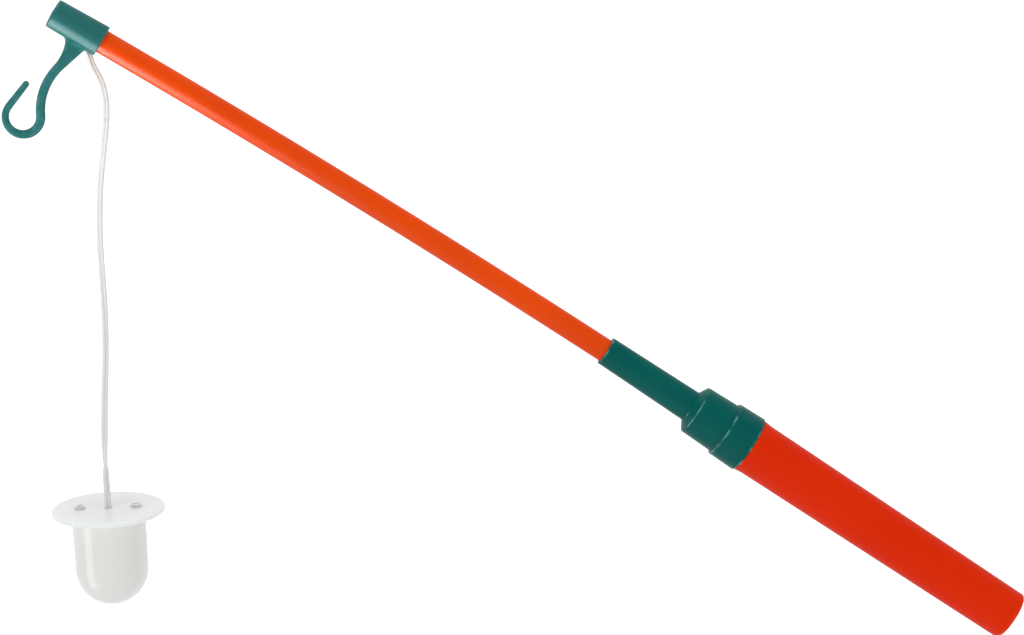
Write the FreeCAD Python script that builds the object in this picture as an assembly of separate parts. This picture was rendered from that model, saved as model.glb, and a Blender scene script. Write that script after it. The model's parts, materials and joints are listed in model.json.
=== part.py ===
import FreeCAD, Part
import math
import os

from FreeCAD import Vector

# A lantern stick: a battery handle that screws onto a thin wand, whose head carries a moulded
# hook for a paper lantern and a cord from which a small lamp hangs inside that lantern.
# Millimetres. The origin is the middle of the handle, on its axis. The stick lies in the plane
# y = 0 with its head up at -X. "Station" is the distance along the straight stick, growing
# towards the tail; the parts are drawn there with +Z square to the stick, then leaned.

# ---- driving dimensions ----

STICK_LEAN = 33.65          # degrees that the handle's axis slopes down towards the tail

HANDLE_LENGTH = 141.5
HANDLE_FRONT_R = 12.15
HANDLE_TAIL_R = 11.15
HANDLE_LIP_R = 12.6
HANDLE_LIP_LENGTH = 4.2
HANDLE_TAIL_WALL = 2.5
HANDLE_BORE_R = 8.6

NECK_LENGTH = 12.0
NECK_R = 10.1
THREAD_PITCH = 3.0
THREAD_TURNS = 3.0
THREAD_CREST_R = 10.5
THREAD_BORE_R = 10.6

RING_LENGTH = 13.0
COLLAR_LENGTH = 15.5
SHOULDER_LENGTH = 2.5
SLEEVE_LENGTH = 45.0
RING_R = (12.8, 13.1)       # head side, tail side
COLLAR_R = (11.3, 11.75)
SLEEVE_R = (6.5, 7.05)
CONTACT_BORE_R = 9.0
POCKET_R = 7.6              # room behind the contact board for the rivets and leads
POCKET_DEPTH = 2.2
THROAT_R = 3.9

TUBE_R = 5.25
TUBE_BORE_R = 3.9
TUBE_SHOWN = 257.5          # tube between the sleeve's mouth and the cap's mouth
BOW_R = 5500.0              # the long tube droops a little towards its head

CAP_LENGTH = 25.0
CAP_MOUTH_R = 7.0
CAP_END_R = 6.5
CAP_BORE_DEPTH = 21.0
CORD_HOLE_BACK = 3.0        # from the cap's mouth to the middle of the cord hole
CORD_HOLE_R = 1.65
CORD_HOLE_SLANT = 45.0      # degrees from square to the cap, towards the tail

HOOK_LEAN = 31.7            # the hook's upright against a line square to the cap
HOOK_EYE = (-13.3, -46.3)   # the eye's middle, from the middle of the cap's mouth
HOOK_THICKNESS = 3.6
HOOK_EDGE = 1.2
HOOK_EYE_R = 5.85
HOOK_LOOP_R = 9.5
HOOK_LOOP_OFFSET = (0.45, -0.1)
HOOK_SHANK_RISE = 1.8
HOOK_SHANK_R = 28.9
HOOK_FLARE_R = 19.6
HOOK_TIP = (2.05, 14.3)
HOOK_TIP_R = 1.4
HOOK_LEAVE = 131.0          # where the shank's outer side leaves its arc for the cap, in degrees
HOOK_ROOT_LINE = 13.6       # and the straight from there into the cap
HOOK_ROOT_ANGLE = -2.3      # where the flared inner side ends inside the cap

CELL_LENGTH = 50.5          # an AA cell
CELL_R = 7.25
CELL_NUB_R = 2.75
CELL_NUB = 1.0
CELL_NAMES = ("battery_front", "battery_middle", "battery_rear")
RIB_R = 7.5
RIB_WIDTH = 1.4

BOARD_R = 8.8
BOARD_THICKNESS = 1.6
CONTACT_HEIGHT = 1.4
METAL = 0.4                 # sheet brass
STRIP_WIDTH = 4.0
RIVET_R = 0.9
RIVET_OUT = 5.6
LEAD_R = 0.65
LEAD_OUT = 1.3
LEAD_SHORT = 8.0            # the leads end this far before the cap's mouth, where the cord takes over
SPRING_R = 5.2
SPRING_WIRE_R = 0.45
SPRING_TURNS = 4

CORD_R = 1.5
CUP_GAP = 0.05
CUP_BACK = 1.2
# The cord's route from its hole in the cap to its knot inside the lamp.
CORD_ROUTE = [
    (-346.9, 0.0, 212.8),
    (-345.5, 0.0, 207.4),
    (-340.5, 0.0, 198.4),
    (-339.1, 0.0, 187.0),
    (-340.6, 0.0, 172.0),
    (-342.9, -0.1, 152.0),
    (-343.3, -0.5, 130.0),
    (-341.6, -1.1, 106.0),
    (-341.0, -1.5, 82.0),
    (-342.0, -1.9, 58.0),
    (-342.3, -2.0, 38.0),
    (-341.68, -1.56, 19.98),
    (-341.00, -0.91, 5.61),
]
SWING_RUN = 2               # the cord bends at the middle of these runs
SWAY_RUN = 3

LAMP_TOP = (-341.2, -1.1, 9.8)   # middle of the flange's top face
LAMP_TILT = 2.6                  # degrees about X
LAMP_LEAN = -2.7                 # degrees about Y
FLANGE_R = 25.0
FLANGE_THICKNESS = 2.0
SCREW_OUT = 12.4
SCREW_R = 1.15
SCREW_HEAD_R = 2.35
SCREW_HEAD = 1.4
SCREW_LENGTH = 8.0
LENS_R = 16.25
LENS_STRAIGHT = 8.0
LENS_DOME_R = 16.05
LENS_SKIRT = 25.8
LENS_WALL = 1.2
BOSS_R = 2.6
BOSS_LENGTH = 8.0
HOLDER_PLATE = 1.5
HOLDER_R = 7.0
HOLDER_END = -20.0
KNOT_R = 3.2
BULB_CAP_R = 4.75
BULB_GLASS_R = 5.5
BULB_GLASS_WALL = 0.6
CLEARANCE = 0.05

# ---- stations that follow from them ----

HANDLE_FRONT = -HANDLE_LENGTH / 2
HANDLE_TAIL = HANDLE_LENGTH / 2
NECK_END = HANDLE_FRONT - NECK_LENGTH
RING_HEAD = HANDLE_FRONT - RING_LENGTH
COLLAR_HEAD = RING_HEAD - COLLAR_LENGTH
SHOULDER_HEAD = COLLAR_HEAD - SHOULDER_LENGTH
SLEEVE_MOUTH = SHOULDER_HEAD - SLEEVE_LENGTH
TUBE_ROOT = SHOULDER_HEAD - 6.0
TUBE_TO_CAP = TUBE_ROOT - SLEEVE_MOUTH + TUBE_SHOWN
WASHER_FACE = NECK_END - METAL
SPRING_END = HANDLE_TAIL - HANDLE_TAIL_WALL - METAL
SPRING_LENGTH = 8.6
CELLS_TAIL = SPRING_END - SPRING_LENGTH
CELLS_HEAD = CELLS_TAIL - len(CELL_NAMES) * CELL_LENGTH
BOARD_FACE = CELLS_HEAD - CONTACT_HEIGHT
BOARD_BACK = BOARD_FACE - BOARD_THICKNESS

ORIGIN = Vector(0, 0, 0)
X_AXIS = Vector(1, 0, 0)
Y_AXIS = Vector(0, 1, 0)
Z_AXIS = Vector(0, 0, 1)
PARTS = {}


# ---- helpers ----

def rounded_wire(corners):
    """A closed outline in the plane y = 0 from (x, z) or (x, z, rounding radius) corners."""
    points = [Vector(corner[0], 0, corner[1]) for corner in corners]
    radii = [corner[2] if len(corner) > 2 else 0 for corner in corners]
    starts, ends, middles = [], [], []
    for index, point in enumerate(points):
        before = (points[index - 1] - point).normalize()
        after = (points[(index + 1) % len(points)] - point).normalize()
        half = before.getAngle(after) / 2
        reach = radii[index] / math.tan(half)
        starts.append(point + before * reach)
        ends.append(point + after * reach)
        inward = (before + after).normalize()
        middles.append(point + inward * radii[index] * (1 / math.sin(half) - 1))
    edges = []
    for index in range(len(points)):
        if radii[index]:
            edges.append(Part.Arc(starts[index], middles[index], ends[index]).toShape())
        following = starts[(index + 1) % len(points)]
        if ends[index].distanceToPoint(following) > 1e-6:
            edges.append(Part.LineSegment(ends[index], following).toShape())
    return Part.Wire(edges)


def turned(corners, axis=X_AXIS):
    """A solid of revolution about the stick's X or the lamp's Z axis."""
    return Part.Face(rounded_wire(corners)).revolve(ORIGIN, axis, 360)


def rod(radius, start, end):
    """A straight round bar between two points."""
    return Part.makeCylinder(radius, (end - start).Length, start, end - start)


def block(x_range, y_range, z_range):
    """A box from its lowest to its highest corner."""
    low = Vector(x_range[0], y_range[0], z_range[0])
    high = Vector(x_range[1], y_range[1], z_range[1])
    return Part.makeBox(high.x - low.x, high.y - low.y, high.z - low.z, low)


def along_bow(shape, length):
    """Carry a shape from the tube's root along the bowed tube."""
    shape = shape.copy()
    shape.rotate(Vector(TUBE_ROOT, 0, -BOW_R), Y_AXIS, -math.degrees(length / BOW_R))
    return shape


def bowed_rod(radius, length, height=0):
    """A round bar from the tube's root along the bow, at a height beside the tube's axis."""
    disc = Part.Face(Part.Wire(Part.makeCircle(radius, Vector(TUBE_ROOT, 0, height), X_AXIS)))
    return disc.revolve(Vector(TUBE_ROOT, 0, -BOW_R), Vector(0, -1, 0), math.degrees(length / BOW_R))


def add(name, shape):
    PARTS[name] = shape.removeSplitter() if shape.ShapeType == "Solid" else shape


def add_stick(name, shape):
    """Lean a shape drawn along the straight stick into place."""
    shape = shape.copy()
    shape.rotate(ORIGIN, Y_AXIS, STICK_LEAN)
    add(name, shape)


def add_lamp(name, shape):
    """Hang a shape drawn under the flange's top face into place."""
    shape = shape.copy()
    shape.rotate(ORIGIN, X_AXIS, LAMP_TILT)
    shape.rotate(ORIGIN, Y_AXIS, LAMP_LEAN)
    shape.translate(Vector(*LAMP_TOP))
    add(name, shape)


# ---- handle ----

def handle_thread():
    """The raised right-hand thread on the handle's neck."""
    root, crest = NECK_R - 0.2, THREAD_CREST_R
    helix = Part.makeHelix(THREAD_PITCH, THREAD_PITCH * THREAD_TURNS, root)
    section = Part.makePolygon([
        Vector(root, 0, -0.7), Vector(crest, 0, -0.3), Vector(crest, 0, 0.3),
        Vector(root, 0, 0.7), Vector(root, 0, -0.7)])
    ridge = Part.Wire(helix.Edges).makePipeShell([section], True, True)
    ridge.rotate(ORIGIN, Y_AXIS, -90)
    ridge.translate(Vector(HANDLE_FRONT - 1.2, 0, 0))
    return ridge


def handle_shell():
    """Tapered, closed at the tail, with four ribs that centre the cells and a threaded neck."""
    lip_end = HANDLE_FRONT + HANDLE_LIP_LENGTH
    floor = HANDLE_TAIL - HANDLE_TAIL_WALL
    shell = turned([
        (NECK_END, HANDLE_BORE_R, 0.3),
        (NECK_END, NECK_R, 0.5),
        (HANDLE_FRONT, NECK_R),
        (HANDLE_FRONT, HANDLE_LIP_R, 0.5),
        (lip_end, HANDLE_FRONT_R, 8.0),
        (HANDLE_TAIL - 0.5, HANDLE_TAIL_R, 1.4),
        (HANDLE_TAIL, 0),
        (floor, 0),
        (floor, HANDLE_BORE_R),
    ])
    rib = block((HANDLE_FRONT, floor), (-RIB_WIDTH / 2, RIB_WIDTH / 2), (RIB_R, HANDLE_BORE_R + 0.5))
    for quarter in range(4):
        turn = rib.copy()
        turn.rotate(ORIGIN, X_AXIS, 45 + 90 * quarter)
        shell = shell.fuse(turn)
    return shell.fuse(handle_thread())


def return_strip():
    """Brass strip from under the spring along the bore, folded over the neck's end."""
    top = HANDLE_BORE_R - CLEARANCE
    side = (-STRIP_WIDTH / 2, STRIP_WIDTH / 2)
    seat = math.sqrt(top ** 2 - side[1] ** 2)
    run = block((NECK_END - METAL, SPRING_END + METAL), side, (seat - METAL, seat))
    tail = block((SPRING_END, SPRING_END + METAL), side, (-SPRING_R, seat))
    tab = block((NECK_END - METAL, NECK_END), side, (seat - METAL, NECK_R - 0.5))
    return run.fuse(tail).fuse(tab)


def tail_spring():
    """Coil spring that pushes the cells towards the head."""
    height = SPRING_LENGTH - 2 * SPRING_WIRE_R - 2 * CLEARANCE
    helix = Part.makeHelix(height / SPRING_TURNS, height, SPRING_R)
    section = Part.Wire(Part.makeCircle(SPRING_WIRE_R, Vector(SPRING_R, 0, 0), Y_AXIS))
    coil = Part.Wire(helix.Edges).makePipeShell([section], True, True)
    coil.rotate(ORIGIN, Y_AXIS, 90)
    coil.translate(Vector(CELLS_TAIL + SPRING_WIRE_R + CLEARANCE, 0, 0))
    return coil


def cell(head):
    """One AA cell with its nub towards the head."""
    can = head + CELL_NUB
    return turned([
        (head, 0),
        (head, CELL_NUB_R, 0.3),
        (can, CELL_NUB_R),
        (can, CELL_R, 0.4),
        (head + CELL_LENGTH, CELL_R, 0.4),
        (head + CELL_LENGTH, 0),
    ])


def make_handle():
    add_stick("handle_shell", handle_shell())
    add_stick("return_strip", return_strip())
    add_stick("tail_spring", tail_spring())
    for index, name in enumerate(CELL_NAMES):
        add_stick(name, cell(CELLS_HEAD + index * CELL_LENGTH))


# ---- adapter and contacts ----

def adapter():
    """Sleeve, shoulder, collar and stepped ring in one moulding, bored for tube and neck."""
    board_seat = BOARD_BACK - CLEARANCE
    body = turned([
        (SLEEVE_MOUTH, 2.0),
        (SLEEVE_MOUTH, SLEEVE_R[0], 0.5),
        (SHOULDER_HEAD, SLEEVE_R[1], 0.8),
        (COLLAR_HEAD, COLLAR_R[0], 0.9),
        (RING_HEAD, COLLAR_R[1], 0.3),
        (RING_HEAD, RING_R[0], 0.5),
        (HANDLE_FRONT, RING_R[1], 0.4),
        (HANDLE_FRONT, THREAD_BORE_R),
        (WASHER_FACE - METAL, THREAD_BORE_R),
        (WASHER_FACE - METAL, CONTACT_BORE_R),
        (board_seat, CONTACT_BORE_R),
        (board_seat, POCKET_R),
        (board_seat - POCKET_DEPTH, POCKET_R),
        (board_seat - POCKET_DEPTH, THROAT_R),
        (TUBE_ROOT - 1.0, THROAT_R),
        (TUBE_ROOT - 1.0, 2.0),
    ])
    return body.cut(bowed_rod(TUBE_R + CLEARANCE, 2 * SLEEVE_LENGTH))


def contact_board():
    """Insulating disc that carries the two contacts and their rivets."""
    disc = Part.makeCylinder(BOARD_R, BOARD_THICKNESS, Vector(BOARD_BACK, 0, 0), X_AXIS)
    for out in (0, RIVET_OUT, -RIVET_OUT):
        disc = disc.cut(rivet_hole(out))
    return disc


def rivet_hole(out):
    return rod(RIVET_R, Vector(BOARD_BACK - 1, 0, out), Vector(BOARD_FACE + 1, 0, out))


def centre_contact():
    """Domed brass rivet that the front cell presses on, with a tongue to the live rivet."""
    dome = turned([
        (BOARD_BACK - 0.8, 0),
        (BOARD_BACK - 0.8, 1.8, 0.3),
        (BOARD_BACK, 1.8),
        (BOARD_BACK, RIVET_R - 0.01),
        (BOARD_FACE, RIVET_R - 0.01),
        (BOARD_FACE, 3.0),
        (CELLS_HEAD, 2.6, 0.8),
        (CELLS_HEAD, 0),
    ])
    tongue = block((BOARD_FACE, BOARD_FACE + METAL), (-1.5, 1.5), (-RIVET_OUT - 1.5, -2.0))
    return dome.fuse(tongue).cut(rivet_hole(-RIVET_OUT))


def ring_contact():
    """Brass washer that the strip's tab meets, with a tongue back to the board."""
    inner = CONTACT_BORE_R - 0.2
    ends = (Vector(WASHER_FACE - METAL, 0, 0), Vector(WASHER_FACE, 0, 0))
    washer = rod(THREAD_BORE_R - 0.1, *ends).cut(rod(inner, *ends))
    side = (-STRIP_WIDTH / 2, STRIP_WIDTH / 2)
    seat = math.sqrt((CONTACT_BORE_R - CLEARANCE) ** 2 - side[1] ** 2)
    tongue = block((BOARD_FACE, WASHER_FACE), side, (seat - METAL, seat))
    link = block((WASHER_FACE - METAL, WASHER_FACE), side, (seat - METAL, inner + 0.5))
    foot = block((BOARD_FACE, BOARD_FACE + METAL), side, (RIVET_OUT - 1.6, seat))
    return washer.fuse(link).fuse(tongue).fuse(foot).cut(rivet_hole(RIVET_OUT))


def contact_rivets():
    """The live and return rivets, each a shank with two heads."""
    front = BOARD_FACE + METAL
    rivets = []
    for out in (RIVET_OUT, -RIVET_OUT):
        rivet = turned([
            (BOARD_BACK - 0.5, 0),
            (BOARD_BACK - 0.5, 1.5, 0.2),
            (BOARD_BACK, 1.5),
            (BOARD_BACK, RIVET_R - 0.01),
            (front, RIVET_R - 0.01),
            (front, 1.4),
            (front + 0.5, 1.2, 0.2),
            (front + 0.5, 0),
        ])
        rivet.translate(Vector(0, 0, out))
        rivets.append(rivet)
    return Part.makeCompound(rivets)


def inner_lead(side):
    """One insulated lead, from a rivet through the throat and along the bowed tube."""
    back = BOARD_BACK - 0.55 - LEAD_R
    corners = [
        Vector(TUBE_ROOT, 0, side * LEAD_OUT),
        Vector(TUBE_ROOT + 4.0, 0, side * LEAD_OUT),
        Vector(back, 0, side * 3.0),
        Vector(back, 0, side * RIVET_OUT),
    ]
    lead = bowed_rod(LEAD_R, TUBE_TO_CAP - LEAD_SHORT, side * LEAD_OUT)
    for start, end in zip(corners, corners[1:]):
        lead = lead.fuse(rod(LEAD_R, start, end)).fuse(Part.makeSphere(LEAD_R, end))
    return lead


def make_adapter():
    add_stick("adapter", adapter())
    add_stick("contact_board", contact_board())
    add_stick("centre_contact", centre_contact())
    add_stick("ring_contact", ring_contact())
    add_stick("contact_rivets", contact_rivets())
    add_stick("return_lead", inner_lead(1))
    add_stick("live_lead", inner_lead(-1))


# ---- tube, head cap and hook ----

def circle_point(centre, radius, degrees):
    angle = math.radians(degrees)
    return Vector(centre[0] + radius * math.cos(angle), 0, centre[1] + radius * math.sin(angle))


def circle_arc(centre, radius, first, last):
    """An arc in the plane y = 0 between two angles, counted from +X towards +Z."""
    ends = [circle_point(centre, radius, angle) for angle in (first, (first + last) / 2, last)]
    return Part.Arc(*ends).toShape()


def tangent_angle(centre, reach, tip):
    """Direction of the normal of the line that keeps `reach` more from the first centre."""
    span = math.hypot(tip[0] - centre[0], tip[1] - centre[1])
    heading = math.degrees(math.atan2(tip[1] - centre[1], tip[0] - centre[0]))
    return heading + math.degrees(math.acos(reach / span))


def hook():
    """The S-shaped lantern hook about its eye, flat-moulded with rounded edges."""
    loop = HOOK_LOOP_OFFSET
    eye = (0, 0)
    outer_x = loop[0] + HOOK_LOOP_R
    bend = (HOOK_EYE_R + HOOK_SHANK_R, HOOK_SHANK_RISE)
    outer_bend_r = bend[0] - outer_x
    outside = tangent_angle(loop, HOOK_LOOP_R - HOOK_TIP_R, HOOK_TIP)
    inside = tangent_angle(eye, HOOK_EYE_R + HOOK_TIP_R, HOOK_TIP)
    flare_span = (HOOK_SHANK_R + HOOK_FLARE_R) / math.sqrt(2)
    flare = (bend[0] - flare_span, bend[1] + flare_span)
    leave = circle_point(bend, outer_bend_r, HOOK_LEAVE)
    slope = math.radians(HOOK_LEAVE - 90)
    root_right = leave + Vector(math.cos(slope), 0, math.sin(slope)) * HOOK_ROOT_LINE
    root_left = circle_point(flare, HOOK_FLARE_R, HOOK_ROOT_ANGLE)
    edges = [
        Part.LineSegment(root_right, leave).toShape(),
        circle_arc(bend, outer_bend_r, HOOK_LEAVE, 180),
        Part.LineSegment(Vector(outer_x, 0, bend[1]), Vector(outer_x, 0, loop[1])).toShape(),
        circle_arc(loop, HOOK_LOOP_R, 0, outside - 360),
        Part.LineSegment(circle_point(loop, HOOK_LOOP_R, outside),
                         circle_point(HOOK_TIP, HOOK_TIP_R, outside)).toShape(),
        circle_arc(HOOK_TIP, HOOK_TIP_R, outside, inside - 180),
        Part.LineSegment(circle_point(HOOK_TIP, HOOK_TIP_R, inside - 180),
                         circle_point(eye, HOOK_EYE_R, inside)).toShape(),
        circle_arc(eye, HOOK_EYE_R, inside - 360, 0),
        Part.LineSegment(Vector(HOOK_EYE_R, 0, 0), Vector(HOOK_EYE_R, 0, bend[1])).toShape(),
        circle_arc(bend, HOOK_SHANK_R, 180, 135),
        circle_arc(flare, HOOK_FLARE_R, -45, HOOK_ROOT_ANGLE),
        Part.LineSegment(root_left, root_right).toShape(),
    ]
    outline = Part.Face(Part.Wire(edges))
    outline.translate(Vector(0, -HOOK_THICKNESS / 2, 0))
    solid = outline.extrude(Vector(0, HOOK_THICKNESS, 0))
    rim = [edge for edge in solid.Edges if edge.BoundBox.YLength < 1e-6]
    return solid.makeFillet(HOOK_EDGE, rim).Solids[0]


def cord_hole(start_back, end_out):
    """The slanted drilling through the underside of cap and tube for the cord."""
    mouth = Vector(TUBE_ROOT - CORD_HOLE_BACK, 0, -(CAP_MOUTH_R - 0.05))
    slant = math.radians(CORD_HOLE_SLANT)
    out = Vector(math.sin(slant), 0, -math.cos(slant))
    return rod(CORD_HOLE_R, mouth - out * start_back, mouth + out * end_out)


def head_cap():
    """Closed cap with the hook, bored for the tube and drilled for the cord."""
    end = TUBE_ROOT - CAP_LENGTH
    floor = TUBE_ROOT - CAP_BORE_DEPTH
    cap = turned([
        (TUBE_ROOT, TUBE_R + 2 * CLEARANCE),
        (TUBE_ROOT, CAP_MOUTH_R, 0.35),
        (end + 0.4, CAP_END_R, 0.9),
        (end, 0),
        (floor, 0),
        (floor, TUBE_R + 2 * CLEARANCE),
    ])
    lantern_hook = hook()
    lantern_hook.rotate(ORIGIN, Y_AXIS, -HOOK_LEAN)
    lantern_hook.translate(Vector(TUBE_ROOT + HOOK_EYE[0], 0, HOOK_EYE[1]))
    return cap.fuse(lantern_hook).cut(cord_hole(5.0, 3.0))


def wand_tube():
    """The long bowed tube, drilled near its head for the cord."""
    length = TUBE_TO_CAP + CAP_BORE_DEPTH - 0.3
    tube = bowed_rod(TUBE_R, length).cut(bowed_rod(TUBE_BORE_R, length))
    return tube.cut(along_bow(cord_hole(5.0, 3.0), TUBE_TO_CAP))


def make_wand():
    add_stick("wand_tube", wand_tube())
    add_stick("head_cap", along_bow(head_cap(), TUBE_TO_CAP))


# ---- cord ----

def cord_run(first, last):
    """The tube about route points first to last, from mid-run or route end to the same."""
    route = [Vector(*point) for point in CORD_ROUTE]
    start = route[0] if first == 1 else (route[first - 1] + route[first]) * 0.5
    end = route[-1] if last == len(route) - 2 else (route[last] + route[last + 1]) * 0.5
    edges = []
    here = start
    for index in range(first, last + 1):
        corner = route[index]
        before = route[index - 1] - corner
        after = route[index + 1] - corner
        half_turn = (math.pi - before.getAngle(after)) / 2
        reach = 0.45 * min(before.Length, after.Length)
        radius = reach / math.tan(half_turn)
        print("cord bend", index, "radius", round(radius, 1))
        arc_start = corner + before.normalize() * reach
        arc_end = corner + after.normalize() * reach
        inward = (before + after).normalize()
        middle = corner + inward * radius * (1 / math.cos(half_turn) - 1)
        edges.append(Part.LineSegment(here, arc_start).toShape())
        edges.append(Part.Arc(arc_start, middle, arc_end).toShape())
        here = arc_end
    edges.append(Part.LineSegment(here, end).toShape())
    path = Part.Wire(edges)
    heading = route[first] - start
    section = Part.Wire(Part.makeCircle(CORD_R, start, heading))
    tube = path.makePipeShell([section], True, False)
    section_length = math.pi * CORD_R ** 2 * path.Length
    print("cord", first, last, "volume", round(tube.Volume, 1), "section x length", round(section_length, 1))
    return tube


def run_middle(run):
    """Where the cord bends, and its direction there."""
    first, second = Vector(*CORD_ROUTE[run]), Vector(*CORD_ROUTE[run + 1])
    return (first + second) * 0.5, (second - first).normalize()


def cupped(tube, run):
    """Cut a tube's lower end back to a cup around the bend at the middle of a run."""
    pivot, down = run_middle(run)
    tube = tube.cut(rod(2 * CORD_R, pivot - down * CUP_BACK, pivot + down * CORD_R))
    return tube.cut(Part.makeSphere(CORD_R + CUP_GAP, pivot))


def balled(tube, run):
    """Round a tube's upper end about the bend at the middle of a run."""
    return tube.fuse(Part.makeSphere(CORD_R, run_middle(run)[0]))


def make_cord():
    last = len(CORD_ROUTE) - 2
    add("cord_root", cupped(cord_run(1, SWING_RUN), SWING_RUN))
    add("cord_link", cupped(balled(cord_run(SWING_RUN + 1, SWAY_RUN), SWING_RUN), SWAY_RUN))
    add("lamp_cord", balled(cord_run(SWAY_RUN + 1, last), SWAY_RUN))


# ---- lamp, drawn under z = 0 with its axis on Z ----

def screw_places():
    return (Vector(-SCREW_OUT, 0, 0), Vector(SCREW_OUT, 0, 0))


def lamp_flange():
    """Clear round cover plate with a cord hole and two screw holes."""
    disc = turned([
        (CORD_HOLE_R + CLEARANCE, 0, 0.2),
        (FLANGE_R, 0, 0.6),
        (FLANGE_R, -FLANGE_THICKNESS, 0.5),
        (CORD_HOLE_R + CLEARANCE, -FLANGE_THICKNESS),
    ], Z_AXIS)
    for place in screw_places():
        disc = disc.cut(rod(SCREW_R + 0.15, place - Z_AXIS * 5, place + Z_AXIS * 5))
    return disc


def flange_screws():
    """Two pan-head self-tapping screws with cross recesses."""
    screws = []
    for place in screw_places():
        screw = turned([
            (0, SCREW_HEAD),
            (SCREW_HEAD_R, SCREW_HEAD, 0.8),
            (SCREW_HEAD_R, 0),
            (SCREW_R, 0),
            (SCREW_R, -SCREW_LENGTH + 1.2),
            (0.3, -SCREW_LENGTH),
            (0, -SCREW_LENGTH),
        ], Z_AXIS)
        for turn in (0, 90):
            slot = block((-1.3, 1.3), (-0.28, 0.28), (SCREW_HEAD - 0.9, SCREW_HEAD + 1))
            slot.rotate(ORIGIN, Z_AXIS, turn + 20)
            screw = screw.cut(slot)
        screw.translate(place)
        screws.append(screw)
    return Part.makeCompound(screws)


def lamp_lens():
    """Opal dome: a straight collar, a drafted skirt and a round end, with two screw bosses."""
    top = -FLANGE_THICKNESS
    centre = top - LENS_SKIRT
    inner_r = LENS_DOME_R - LENS_WALL
    outline = Part.Wire([
        Part.LineSegment(Vector(LENS_R - LENS_WALL, 0, top), Vector(LENS_R, 0, top)).toShape(),
        Part.LineSegment(Vector(LENS_R, 0, top), Vector(LENS_R, 0, top - LENS_STRAIGHT)).toShape(),
        Part.LineSegment(Vector(LENS_R, 0, top - LENS_STRAIGHT), Vector(LENS_DOME_R, 0, centre)).toShape(),
        circle_arc((0, centre), LENS_DOME_R, 0, -90),
        Part.LineSegment(Vector(0, 0, centre - LENS_DOME_R), Vector(0, 0, centre - inner_r)).toShape(),
        circle_arc((0, centre), inner_r, -90, 0),
        Part.LineSegment(Vector(inner_r, 0, centre), Vector(LENS_R - LENS_WALL, 0, top)).toShape(),
    ])
    dome = Part.Face(outline).revolve(ORIGIN, Z_AXIS, 360)
    boss_top = top - HOLDER_PLATE
    for place in screw_places():
        boss = rod(BOSS_R, place + Z_AXIS * boss_top, place + Z_AXIS * (boss_top - BOSS_LENGTH))
        boss = boss.common(rod(LENS_R - 0.3, Z_AXIS * 0, Z_AXIS * -40))
        hole = rod(SCREW_R + 0.01, place + Z_AXIS, place - Z_AXIS * (SCREW_LENGTH + 0.3))
        dome = dome.fuse(boss).cut(hole)
    return dome


def bulb_holder():
    """Plate clamped under the flange, with a barrel that has a knot room and a lamp socket."""
    top = -FLANGE_THICKNESS
    under = top - HOLDER_PLATE
    barrel = turned([
        (CORD_HOLE_R + CLEARANCE, top),
        (HOLDER_R, top),
        (HOLDER_R, HOLDER_END, 0.5),
        (5.2, HOLDER_END, 0.3),
        (5.2, -11.5),
        (1.2, -11.5),
        (1.2, -10.0),
        (4.6, -10.0),
        (4.6, under),
        (CORD_HOLE_R + CLEARANCE, under),
    ], Z_AXIS)
    ears = block((-14.3, 14.3), (-4.0, 4.0), (under, top))
    ears = ears.common(rod(14.4, Z_AXIS * (under - 1), Z_AXIS * 0))
    ears = ears.cut(rod(HOLDER_R - 0.5, Z_AXIS * -5, Z_AXIS * 0))
    for place in screw_places():
        ears = ears.cut(rod(SCREW_R + 0.1, place - Z_AXIS * 5, place))
    return barrel.fuse(ears)


def cord_knot():
    """The knot that stops the cord from pulling out through the plate."""
    return turned([(0, -4.2), (KNOT_R, -4.2, 1.9), (KNOT_R, -8.6, 1.9), (0, -8.6)], Z_AXIS)


def lamp_tails():
    """The two bare lead ends from the knot to the socket's contacts."""
    tails = [rod(0.4, Vector(out, 0, -8.6), Vector(out, 0, -9.95)) for out in (-0.6, 0.6)]
    return Part.makeCompound(tails)


def holder_tip_contact():
    """Brass eyelet through the socket's floor."""
    return turned([
        (0, -9.97), (1.15, -9.97), (1.15, -11.52), (2.4, -11.52), (2.4, -12.0, 0.2), (0, -12.0)], Z_AXIS)


def holder_side_contact():
    """Brass shell that the bulb's cap turns in, with two rolled grooves."""
    corners = [(5.15, -12.6), (5.15, HOLDER_END + 0.3), (4.85, HOLDER_END + 0.3), (4.85, -12.6)]
    return turned(corners, Z_AXIS)


def bulb_cap():
    """Rolled cap of the miniature screw bulb."""
    ridges = []
    for turn in range(4):
        depth = -13.4 - 1.5 * turn
        ridges += [(BULB_CAP_R - 0.35, depth), (BULB_CAP_R, depth - 0.75, 0.2)]
    return turned([(1.9, -13.0), (BULB_CAP_R - 0.5, -13.0)] + ridges + [
        (BULB_CAP_R - 0.35, -19.4),
        (BULB_CAP_R - 0.2, -21.0),
        (4.1, -21.0),
        (4.1, -13.4),
        (1.9, -13.4),
    ], Z_AXIS)


def bulb_insulator():
    return turned([(1.2, -12.5), (1.85, -12.7), (1.85, -13.4), (1.2, -13.4)], Z_AXIS)


def bulb_tip():
    return turned([(0, -12.05), (1.15, -12.3, 0.15), (1.15, -13.4), (0, -13.4)], Z_AXIS)


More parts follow.
